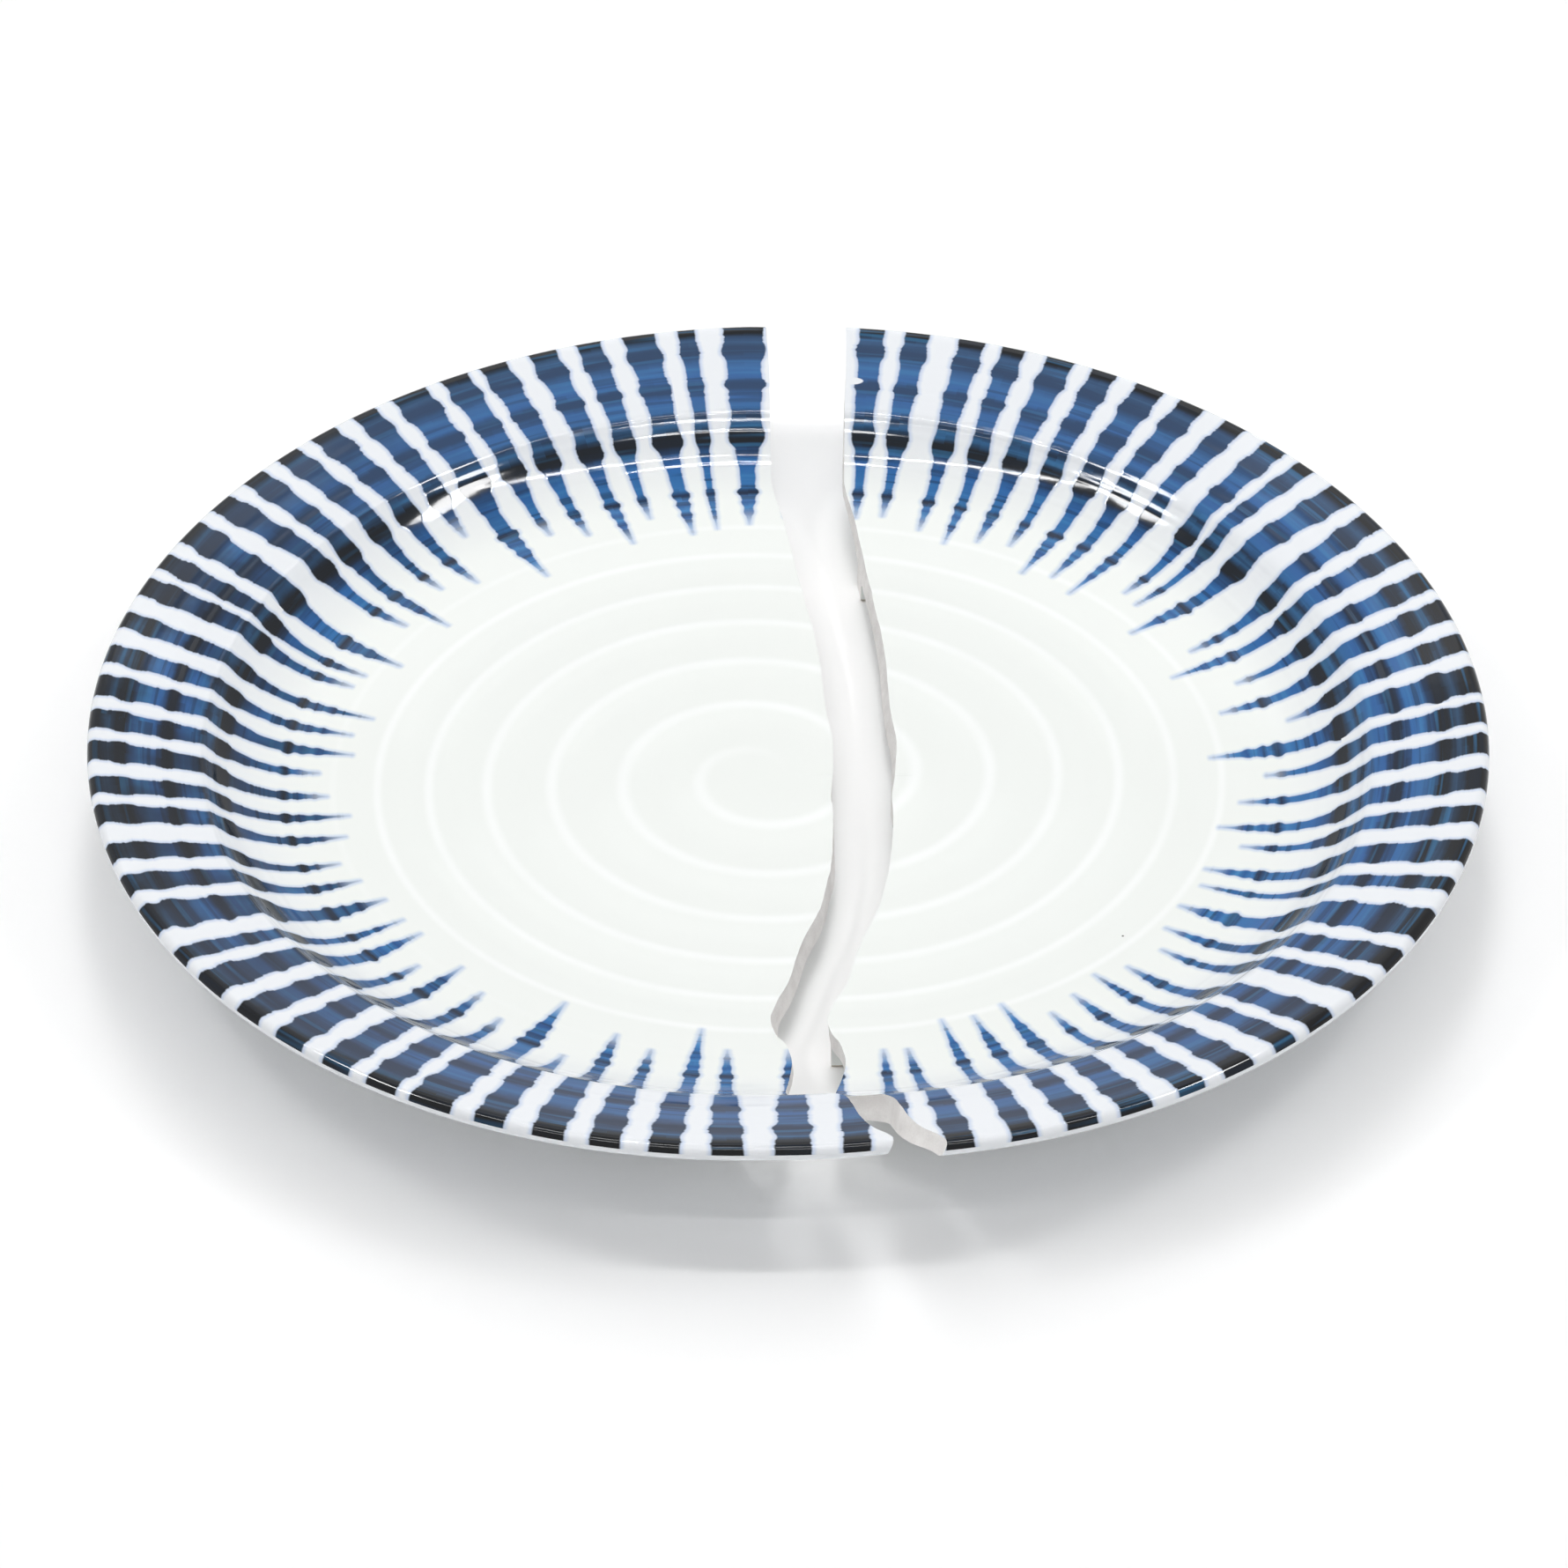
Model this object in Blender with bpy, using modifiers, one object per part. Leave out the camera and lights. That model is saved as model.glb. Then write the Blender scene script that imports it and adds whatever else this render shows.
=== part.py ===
"""A thrown porcelain plate with a wide flange, broken in two, the halves lying side by side.

The whole plate is made first. Its section is turned round the Z axis, the floor of its well
carries the spiral ridge that the potter's finger leaves, and its rim sinks a little to each
side. One break then runs through it from the far rim to the near one, and each half is turned
a little and drawn aside, standing on its own half of the foot ring.

Lengths are in metres. X runs from the left half to the right one, Y from the near rim to the
far one, and Z = 0 is the table.
"""
import math

import bmesh
import bpy
from mathutils import Vector, geometry

# Plate
RIM_RADIUS = 0.1200
RIM_THICKNESS = 0.0030
FLANGE_RISE = 0.0064
FLANGE_THICKNESS = 0.0052
WALL_RUN = 0.0165
WELL_RADIUS = 0.0830
WELL_DEPTH = 0.0180
WELL_DISH = 0.0021
WELL_THICKNESS = 0.0042

# Foot ring
FOOT_RADIUS = 0.0700
FOOT_WIDTH = 0.0052
FOOT_HEIGHT = 0.0045
FOOT_ROUND = 0.0008
FOOT_FILLET = 0.0016

# Slopes of the section, as rise over run, where its stretches meet
WALL_SLOPE = 1.10
SHOULDER_SLOPE = 0.38
RIM_SLOPE = 0.28
UNDER_SHOULDER_SLOPE = 0.60
UNDER_FOOT_SLOPE = 0.10
DISH_POWER = 6

# Spiral ridge in the well, counted in turns from its middle
SPIRAL_START = 0.0029
SPIRAL_PITCH = 0.0153
SPIRAL_TIGHTENING = 0.0006
SPIRAL_FIRST_TURN = 0.25
SPIRAL_LAST_TURN = 5.5
SPIRAL_FADE_TURNS = 0.6
SPIRAL_DEPTH = 0.00032
SPIRAL_MARGIN = 0.0030

# How far the rim has sunk in the kiln at the outer end of each half
LEFT_DROOP = 0.0021
RIGHT_DROOP = 0.0025

# The break on the plate's upper side, from the far rim to the near one: x and y as shares of
# the rim's radius, how far the face leans towards the right half over one thickness of the
# well, and the grain lost from it
BREAK_LINE = (
    (0.028, 1.050, 0.0000, 0.0012),
    (0.030, 0.975, 0.0000, 0.0010),
    (0.032, 0.895, 0.0000, 0.0006),
    (0.032, 0.745, -0.0002, 0.0004),
    (0.035, 0.710, -0.0003, 0.0004),
    (0.052, 0.627, -0.0003, 0.0004),
    (0.075, 0.480, -0.0006, 0.0004),
    (0.094, 0.357, -0.0009, 0.0004),
    (0.101, 0.282, -0.0011, 0.0004),
    (0.107, 0.176, -0.0011, 0.0004),
    (0.117, 0.083, -0.0010, 0.0005),
    (0.115, 0.002, -0.0007, 0.0004),
    (0.110, -0.052, -0.0002, 0.0004),
    (0.112, -0.107, 0.0002, 0.0004),
    (0.107, -0.215, 0.0005, 0.0004),
    (0.100, -0.249, 0.0006, 0.0005),
    (0.086, -0.322, 0.0007, 0.0006),
    (0.064, -0.384, 0.0008, 0.0009),
    (0.043, -0.475, 0.0007, 0.0012),
    (0.028, -0.516, 0.0006, 0.0012),
    (0.015, -0.560, 0.0005, 0.0012),
    (0.021, -0.598, 0.0003, 0.0012),
    (0.035, -0.625, 0.0002, 0.0010),
    (0.043, -0.668, 0.0000, 0.0010),
    (0.038, -0.711, 0.0000, 0.0008),
    (0.032, -0.775, 0.0002, 0.0006),
    (0.050, -0.808, 0.0003, 0.0004),
    (0.104, -0.830, -0.0004, 0.0004),
    (0.120, -0.860, -0.0010, 0.0006),
    (0.132, -0.902, -0.0018, 0.0010),
    (0.148, -0.935, -0.0022, 0.0012),
    (0.173, -0.963, -0.0022, 0.0014),
    (0.182, -0.988, -0.0018, 0.0020),
    (0.187, -1.050, -0.0018, 0.0022),
)
BREAK_LEAN_REACH = 1.3
BREAK_BOW = 0.0003
BREAK_BOW_WAVES = 9

# How the halves lie
HALVES_APART = 0.0108
HALF_TURN = math.radians(0.95)

# Fineness of the mesh
TURN_STEPS = 80
WELL_STEP = 0.0060
BREAK_STEPS = 2
WELD = 0.00001
OVERRUN = 0.0100

# What follows from the sizes
SHOULDER_RADIUS = WELL_RADIUS + WALL_RUN
WELL_FLOOR = FOOT_HEIGHT + WELL_THICKNESS
RIM_HEIGHT = WELL_FLOOR + WELL_DEPTH
SHOULDER_HEIGHT = RIM_HEIGHT - FLANGE_RISE
BEAD_RADIUS = RIM_THICKNESS / 2


def clear_scene():
    for thing in list(bpy.data.objects):
        bpy.data.objects.remove(thing, do_unlink=True)


def new_collection(name):
    collection = bpy.data.collections.new(name)
    bpy.context.scene.collection.children.link(collection)
    return collection


def principled(name, colour, roughness):
    material = bpy.data.materials.new(name)
    material.use_nodes = True
    shader = material.node_tree.nodes["Principled BSDF"]
    shader.inputs["Base Color"].default_value = (*colour, 1.0)
    shader.inputs["Roughness"].default_value = roughness
    material.diffuse_color = (*colour, 1.0)
    return material


def ease(share):
    """A share from 0 to 1 that starts and ends level."""
    share = min(max(share, 0.0), 1.0)
    return share * share * (3 - 2 * share)


# Section of the plate

def stretch(start, start_slope, end, end_slope, steps):
    """Points after start, up to end, on a cubic that leaves and arrives with the given slopes."""
    run = end[0] - start[0]
    points = []
    for step in range(1, steps + 1):
        t = step / steps
        height = start[1] * (1 - 3 * t ** 2 + 2 * t ** 3) + end[1] * (3 * t ** 2 - 2 * t ** 3)
        height += run * start_slope * (t - 2 * t ** 2 + t ** 3)
        height += run * end_slope * (t ** 3 - t ** 2)
        points.append((start[0] + run * t, height))
    return points


def arc(centre, radius, first_angle, last_angle, steps):
    """Points on an arc, without its first one; angles in degrees."""
    points = []
    for step in range(1, steps + 1):
        angle = math.radians(first_angle + (last_angle - first_angle) * step / steps)
        points.append((centre[0] + radius * math.cos(angle), centre[1] + radius * math.sin(angle)))
    return points


def dish_height(radius):
    return WELL_FLOOR + WELL_DISH * (radius / WELL_RADIUS) ** DISH_POWER


def upper_side():
    """From the edge of the spiral's disc out to the top of the rim's bead."""
    inner = disc_radius()
    points = []
    for step in range(4):
        radius = inner + (WELL_RADIUS - inner) * step / 3
        points.append((radius, dish_height(radius)))
    edge = points[-1]
    edge_slope = DISH_POWER * WELL_DISH / WELL_RADIUS
    shoulder = (SHOULDER_RADIUS, SHOULDER_HEIGHT)
    rim = (RIM_RADIUS - BEAD_RADIUS, RIM_HEIGHT)
    points += stretch(edge, edge_slope, shoulder, WALL_SLOPE, 7)
    points += stretch(shoulder, SHOULDER_SLOPE, rim, RIM_SLOPE, 5)
    return points


def under_side():
    """From the top of the rim's bead round it, in under the flange and wall, over the foot."""
    bead = (RIM_RADIUS - BEAD_RADIUS, RIM_HEIGHT - BEAD_RADIUS)
    shoulder = (SHOULDER_RADIUS + BEAD_RADIUS, SHOULDER_HEIGHT - FLANGE_THICKNESS)
    root = (FOOT_RADIUS + FOOT_FILLET, dish_height(FOOT_RADIUS + FOOT_FILLET) - WELL_THICKNESS)
    points = arc(bead, BEAD_RADIUS, 90, -90, 6)
    points += stretch(points[-1], RIM_SLOPE, shoulder, UNDER_SHOULDER_SLOPE, 4)
    points += stretch(shoulder, UNDER_SHOULDER_SLOPE, root, UNDER_FOOT_SLOPE, 5)
    inner = FOOT_RADIUS - FOOT_WIDTH
    points += arc((root[0], root[1] - FOOT_FILLET), FOOT_FILLET, 90, 180, 3)
    points.append((FOOT_RADIUS, FOOT_ROUND))
    points += arc((FOOT_RADIUS - FOOT_ROUND, FOOT_ROUND), FOOT_ROUND, 0, -90, 2)
    points.append((inner + FOOT_ROUND, 0.0))
    points += arc((inner + FOOT_ROUND, FOOT_ROUND), FOOT_ROUND, 270, 180, 2)
    points.append((inner, FOOT_HEIGHT - FOOT_FILLET))
    points += arc((inner - FOOT_FILLET, FOOT_HEIGHT - FOOT_FILLET), FOOT_FILLET, 0, 90, 3)
    points.append((inner / 2, FOOT_HEIGHT))
    points.append((0.0, FOOT_HEIGHT))
    return points


def upper_height(radius):
    """Height of the upper side before the rim sinks, read off its section."""
    if radius <= disc_radius():
        return dish_height(radius)
    points = upper_side()
    for inner, outer in zip(points, points[1:]):
        if radius <= outer[0]:
            share = (radius - inner[0]) / (outer[0] - inner[0])
            return inner[1] + (outer[1] - inner[1]) * share
    return points[-1][1]


# Spiral in the well

def crest_radius(turn):
    return SPIRAL_START + SPIRAL_PITCH * turn - SPIRAL_TIGHTENING * turn ** 2


def disc_radius():
    """The ring where the spiral's disc joins the turned body."""
    return crest_radius(SPIRAL_LAST_TURN) + SPIRAL_MARGIN


def spiral_relief(x, y):
    """How far the grooves between the spiral's crests go below the dished floor."""
    radius = math.hypot(x, y)
    turn = math.atan2(y, x) % math.tau / math.tau
    while crest_radius(turn + 1) <= radius and turn < SPIRAL_LAST_TURN + 1:
        turn += 1
    inner = crest_radius(turn)
    share = (radius - inner) / (crest_radius(turn + 1) - inner)
    if share < 0 or share > 1:
        return 0.0
    groove = SPIRAL_DEPTH * (1 - (2 * share - 1) ** 2)
    begun = ease((turn + share - SPIRAL_FIRST_TURN) / SPIRAL_FADE_TURNS)
    left = ease((SPIRAL_LAST_TURN - turn - share) / SPIRAL_FADE_TURNS)
    return -groove * begun * left


def spiral_stations():
    """Plan points along the crest, and two between it and its next turn, with the crest's edges."""
    points = [Vector((0, 0))]
    crest = []
    turn = SPIRAL_FIRST_TURN
    while turn <= SPIRAL_LAST_TURN:
        inner = crest_radius(turn)
        outer = crest_radius(turn + 1)
        direction = Vector((math.cos(math.tau * turn), math.sin(math.tau * turn)))
        crest.append(len(points))
        for share in (0, 1 / 3, 2 / 3):
            radius = inner + (outer - inner) * share
            if radius < disc_radius() - SPIRAL_MARGIN / 2:
                points.append(direction * radius)
        turn += WELL_STEP / (math.tau * inner)
    return points, list(zip(crest, crest[1:]))


def well_disc(mesh):
    """Adds the floor of the well, inside the ring where the turned body begins, to a bmesh."""
    points, edges = spiral_stations()
    for step in range(TURN_STEPS):
        angle = math.tau * step / TURN_STEPS
        points.append(Vector((math.cos(angle), math.sin(angle))) * disc_radius())
    plan, _, triangles, *_ = geometry.delaunay_2d_cdt(points, edges, [], 0, WELD, False)
    corners = []
    for point in plan:
        height = dish_height(point.length)
        if point.length < disc_radius() - WELD:
            height += spiral_relief(point.x, point.y)
        corners.append(mesh.verts.new((point.x, point.y, height)))
    for triangle in triangles:
        mesh.faces.new([corners[index] for index in triangle])


# Whole plate

def turned_body(collection):
    """The section turned round the Z axis: everything but the floor of the well."""
    section = bpy.data.meshes.new("plate_section")
    points = upper_side() + under_side()
    corners = [(radius, 0.0, height) for radius, height in points]
    section.from_pydata(corners, [(i, i + 1) for i in range(len(corners) - 1)], [])
    profile = bpy.data.objects.new("plate_section", section)
    collection.objects.link(profile)
    screw = profile.modifiers.new("turn", "SCREW")
    screw.steps = TURN_STEPS
    screw.render_steps = TURN_STEPS
    screw.use_merge_vertices = True
    screw.merge_threshold = WELD
    depsgraph = bpy.context.evaluated_depsgraph_get()
    body = bpy.data.meshes.new_from_object(profile.evaluated_get(depsgraph))
    bpy.data.objects.remove(profile)
    return body


def sink_rim(vertex):
    """Lowers the plate outside its foot, more towards the left and right ends of the rim."""
    droop = RIGHT_DROOP if vertex.co.x > 0 else LEFT_DROOP
    reach = vertex.co.xy.length - FOOT_RADIUS - FOOT_FILLET
    share = ease(reach / (RIM_RADIUS - FOOT_RADIUS - FOOT_FILLET))
    vertex.co.z -= droop * share * abs(vertex.co.x) / RIM_RADIUS


def whole_plate(collection, glaze, foot):
    """The unbroken plate as one closed mesh, glazed all over but for the tread of its foot."""
    body = turned_body(collection)
    mesh = bmesh.new()
    mesh.from_mesh(body)
    well_disc(mesh)
    bmesh.ops.remove_doubles(mesh, verts=mesh.verts, dist=WELD)
    for vertex in mesh.verts:
        sink_rim(vertex)
    bmesh.ops.recalc_face_normals(mesh, faces=mesh.faces)
    for face in mesh.faces:
        face.material_index = 1 if face.calc_center_median().z < FOOT_ROUND else 0
    mesh.to_mesh(body)
    mesh.free()
    body.name = "whole_plate"
    body.materials.clear()
    body.materials.append(glaze)
    body.materials.append(foot)
    body.shade_smooth()
    return body


# Break

def curve_point(points, index, share):
    """A point on the smooth curve through all the points, between one and the next."""
    last = len(points) - 1
    before = points[max(index - 1, 0)]
    start = points[index]
    end = points[min(index + 1, last)]
    after = points[min(index + 2, last)]
    tangent_in = (end - before) / 2
    tangent_out = (after - start) / 2
    bend = 3 * (end - start) - 2 * tangent_in - tangent_out
    close = 2 * (start - end) + tangent_in + tangent_out
    return start + tangent_in * share + bend * share ** 2 + close * share ** 3


def break_stations():
    """Points along the break with the side each faces, its lean, its loss and its bow."""
    line = [Vector((x * RIM_RADIUS, y * RIM_RADIUS, lean, loss)) for x, y, lean, loss in BREAK_LINE]
    smooth = []
    for index in range(len(line) - 1):
        smooth += [curve_point(line, index, step / BREAK_STEPS) for step in range(BREAK_STEPS)]
    smooth.append(line[-1])
    stations = []
    for index, point in enumerate(smooth):
        ahead = smooth[min(index + 1, len(smooth) - 1)] - smooth[max(index - 1, 0)]
        facing = Vector((-ahead.y, ahead.x)).normalized()
        bow = BREAK_BOW * math.sin(math.tau * BREAK_BOW_WAVES * index / len(smooth))
        stations.append((point.xy, facing, point.z, point.w, bow))
    return stations


def break_levels(station, side):
    """One upright line of the break face: above the plate, at its top, middle and underside, below."""
    point, facing, lean, loss, bow = station
    point = point - facing * side * loss / 2
    surface = upper_height(point.length)
    levels = []
    depths = (surface - RIM_HEIGHT - OVERRUN, 0.0, WELL_THICKNESS / 2, WELL_THICKNESS, surface + OVERRUN)
    for depth, bulge in zip(depths, (0.0, 0.0, bow, 0.0, 0.0)):
        shift = lean * min(max(depth / WELL_THICKNESS, 0.0), BREAK_LEAN_REACH) + bulge
        levels.append(Vector((*(point + facing * shift), surface - depth)))
    return levels


def break_cutter(name, side, collection, material):
    """A solid that fills one side of the break, 1 for the right and -1 for the left."""
    columns = [break_levels(station, side) for station in break_stations()]
    wide = side * (RIM_RADIUS + OVERRUN)
    ends = (columns[-1][0].y, columns[0][0].y)
    columns += [[Vector((wide, y, level.z)) for level in columns[0]] for y in ends]
    mesh = bmesh.new()
    corners = [[mesh.verts.new(level) for level in column] for column in columns]
    for column, following in zip(corners, corners[1:] + corners[:1]):
        for level in range(len(column) - 1):
            quad = (column[level], column[level + 1], following[level + 1], following[level])
            mesh.faces.new(quad)
    mesh.faces.new([column[0] for column in corners])
    mesh.faces.new([column[-1] for column in reversed(corners)])
    bmesh.ops.triangulate(mesh, faces=mesh.faces)
    bmesh.ops.recalc_face_normals(mesh, faces=mesh.faces)
    data = bpy.data.meshes.new(name)
    mesh.to_mesh(data)
    mesh.free()
    data.materials.append(material)
    cutter = bpy.data.objects.new(name, data)
    cutter.hide_render = True
    cutter.display_type = "WIRE"
    collection.objects.link(cutter)
    return cutter


def broken_half(name, body, side, collections, material):
    """The whole plate less what lies beyond the break, laid down where the half was found."""
    pieces, cutters = collections
    half = bpy.data.objects.new(name, body)
    pieces.objects.link(half)
    half.location.x = side * HALVES_APART / 2
    half.rotation_euler.z = -side * HALF_TURN
    cutter = break_cutter(name + "_break", -side, cutters, material)
    cutter.parent = half
    cut = half.modifiers.new("break", "BOOLEAN")
    cut.operation = "DIFFERENCE"
    cut.object = cutter
    cut.material_mode = "TRANSFER"
    return half


def centre_over_origin(halves):
    """Moves the halves together so that the middle of their common box is over the origin."""
    bpy.context.view_layer.update()
    depsgraph = bpy.context.evaluated_depsgraph_get()
    corners = []
    for half in halves:
        shape = half.evaluated_get(depsgraph)
        corners += [shape.matrix_world @ vertex.co for vertex in shape.data.vertices]
    middle_x = (min(c.x for c in corners) + max(c.x for c in corners)) / 2
    middle_y = (min(c.y for c in corners) + max(c.y for c in corners)) / 2
    for half in halves:
        half.location -= Vector((middle_x, middle_y, 0))
    bpy.context.view_layer.update()


def build():
    clear_scene()
    collections = (new_collection("broken_plate"), new_collection("cutters"))
    glaze = principled("glazed_porcelain", (0.88, 0.90, 0.88), 0.12)
    foot = principled("bare_foot", (0.78, 0.74, 0.68), 0.75)
    broken = principled("broken_porcelain", (0.76, 0.74, 0.73), 0.65)
    body = whole_plate(collections[0], glaze, foot)
    left = broken_half("left_piece", body, -1, collections, broken)
    right = broken_half("right_piece", body, 1, collections, broken)
    centre_over_origin((left, right))
    bpy.context.view_layer.update()


build()
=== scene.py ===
# %% [markdown]
# # A thrown porcelain plate, broken in two
# The plate was thrown on a wheel, so one section turned round an axis gives its body. A potter's
# finger left a spiral in the well, a loaded brush drew stripes over the flange, and a clear glaze
# covers it all but the tread of its foot. Then it broke from rim to rim. The script follows the
# same order: section, turning, spiral, break, glaze and brushwork, and last the studio.

# %% Frame
import math
from types import SimpleNamespace

import bmesh
import bpy
import numpy as np
from mathutils import Euler, Matrix, Vector, noise


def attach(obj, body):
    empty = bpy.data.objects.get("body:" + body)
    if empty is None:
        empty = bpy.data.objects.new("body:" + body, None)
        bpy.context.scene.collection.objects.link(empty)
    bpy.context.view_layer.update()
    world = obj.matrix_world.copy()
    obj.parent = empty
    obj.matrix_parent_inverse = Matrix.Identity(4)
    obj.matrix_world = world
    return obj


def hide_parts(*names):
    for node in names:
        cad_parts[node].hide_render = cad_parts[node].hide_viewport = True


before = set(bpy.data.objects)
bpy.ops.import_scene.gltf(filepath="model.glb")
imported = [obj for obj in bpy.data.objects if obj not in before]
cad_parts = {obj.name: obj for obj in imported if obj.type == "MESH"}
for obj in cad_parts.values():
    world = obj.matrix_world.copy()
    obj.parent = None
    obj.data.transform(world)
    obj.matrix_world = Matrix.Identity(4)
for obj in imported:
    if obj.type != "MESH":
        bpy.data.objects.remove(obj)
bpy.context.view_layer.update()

# %% [markdown]
# ## Section
# A potter judges a plate by its section: a thin beaded rim, a flange that rises gently, a wall
# that drops into the well, and a ring to stand on. Smooth cubic stretches between a few named
# points draw such a line better than arcs do, because each stretch arrives with the slope that
# the next one leaves with. The points stand closer together where the line bends.

# %% Sizes of the plate
MM = 1000  # millimetres in a metre
RIM_RADIUS = 0.1199
BEAD_RADIUS = 0.0015
FLANGE_RISE = 0.0064
FLANGE_THICKNESS = 0.0052
SHOULDER_RADIUS = 0.0995
WELL_RADIUS = 0.0830
WELL_DEPTH = 0.0180
WELL_DISH = 0.0021
WELL_THICKNESS = 0.0042
FOOT_RADIUS = 0.0700
FOOT_WIDTH = 0.0052
FOOT_HEIGHT = 0.0045
FOOT_ROUND = 0.0008
FOOT_FILLET = 0.0016
WALL_SLOPE, SHOULDER_SLOPE, RIM_SLOPE = 1.10, 0.38, 0.28
UNDER_SHOULDER_SLOPE, UNDER_FOOT_SLOPE = 0.60, 0.10
DISH_POWER = 6
WELL_FLOOR = FOOT_HEIGHT + WELL_THICKNESS
RIM_HEIGHT = WELL_FLOOR + WELL_DEPTH
SHOULDER_HEIGHT = RIM_HEIGHT - FLANGE_RISE
print("rim", round(RIM_HEIGHT * MM, 1), "mm and shoulder", round(SHOULDER_HEIGHT * MM, 1), "mm high")


# %% Curves that a section is made of
def ease(share):
    share = min(max(share, 0.0), 1.0)
    return share * share * (3 - 2 * share)


def dish_height(radius):
    return WELL_FLOOR + WELL_DISH * (radius / WELL_RADIUS) ** DISH_POWER


def stretch(start, start_slope, end, end_slope, steps):
    run = end[0] - start[0]
    points = []
    for step in range(1, steps + 1):
        t = step / steps
        height = start[1] * (1 - 3 * t ** 2 + 2 * t ** 3) + end[1] * (3 * t ** 2 - 2 * t ** 3)
        height += run * start_slope * (t - 2 * t ** 2 + t ** 3) + run * end_slope * (t ** 3 - t ** 2)
        points.append((start[0] + run * t, height))
    return points


def arc(centre, radius, first_angle, last_angle, steps):
    points = []
    for step in range(1, steps + 1):
        turn = math.radians(first_angle + (last_angle - first_angle) * step / steps)
        points.append((centre[0] + radius * math.cos(turn), centre[1] + radius * math.sin(turn)))
    return points


# %% Section line
FLOOR_STEPS, WALL_STEPS, FLANGE_STEPS, BEAD_STEPS = 76, 24, 20, 14
UNDER_FLANGE_STEPS, UNDER_WALL_STEPS, UNDER_FLOOR_STEPS = 10, 14, 12
FILLET_STEPS, FOOT_ROUND_STEPS = 6, 4


def upper_side():
    radii = [WELL_RADIUS * step / FLOOR_STEPS for step in range(FLOOR_STEPS + 1)]
    floor = [(radius, dish_height(radius)) for radius in radii]
    floor_slope = DISH_POWER * WELL_DISH / WELL_RADIUS
    shoulder = (SHOULDER_RADIUS, SHOULDER_HEIGHT)
    rim = (RIM_RADIUS - BEAD_RADIUS, RIM_HEIGHT)
    wall = stretch(floor[-1], floor_slope, shoulder, WALL_SLOPE, WALL_STEPS)
    return floor + wall + stretch(shoulder, SHOULDER_SLOPE, rim, RIM_SLOPE, FLANGE_STEPS)


def under_side():
    bead = (RIM_RADIUS - BEAD_RADIUS, RIM_HEIGHT - BEAD_RADIUS)
    shoulder = (SHOULDER_RADIUS + BEAD_RADIUS, SHOULDER_HEIGHT - FLANGE_THICKNESS)
    root = (FOOT_RADIUS + FOOT_FILLET, dish_height(FOOT_RADIUS + FOOT_FILLET) - WELL_THICKNESS)
    inner = FOOT_RADIUS - FOOT_WIDTH
    fillet_height = FOOT_HEIGHT - FOOT_FILLET
    points = arc(bead, BEAD_RADIUS, 90, -90, BEAD_STEPS)
    points += stretch(points[-1], RIM_SLOPE, shoulder, UNDER_SHOULDER_SLOPE, UNDER_FLANGE_STEPS)
    points += stretch(shoulder, UNDER_SHOULDER_SLOPE, root, UNDER_FOOT_SLOPE, UNDER_WALL_STEPS)
    points += arc((root[0], root[1] - FOOT_FILLET), FOOT_FILLET, 90, 180, FILLET_STEPS)
    points.append((FOOT_RADIUS, FOOT_ROUND))
    points += arc((FOOT_RADIUS - FOOT_ROUND, FOOT_ROUND), FOOT_ROUND, 0, -90, FOOT_ROUND_STEPS)
    points += [(FOOT_RADIUS - FOOT_WIDTH / 2, 0.0), (inner + FOOT_ROUND, 0.0)]
    points += arc((inner + FOOT_ROUND, FOOT_ROUND), FOOT_ROUND, 270, 180, FOOT_ROUND_STEPS)
    points.append((inner, fillet_height))
    points += arc((inner - FOOT_FILLET, fillet_height), FOOT_FILLET, 0, 90, FILLET_STEPS)
    steps = range(1, UNDER_FLOOR_STEPS + 1)
    return points + [(inner * (1 - step / UNDER_FLOOR_STEPS), FOOT_HEIGHT) for step in steps]


UPPER = upper_side()
SECTION = UPPER + under_side()
print("section of", len(SECTION), "points")

# %% [markdown]
# ## Brush strokes
# Seventy-five strokes run inwards over the flange, each drawn by hand: they differ in width, in
# reach and in spacing, and many lean. Each one here has its angle near the rim and at the edge of
# the well, its width, and the radius of its tip. The body is turned in steps that keep to the
# strokes, so that the paint can be reckoned from each stroke's own middle line.

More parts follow.
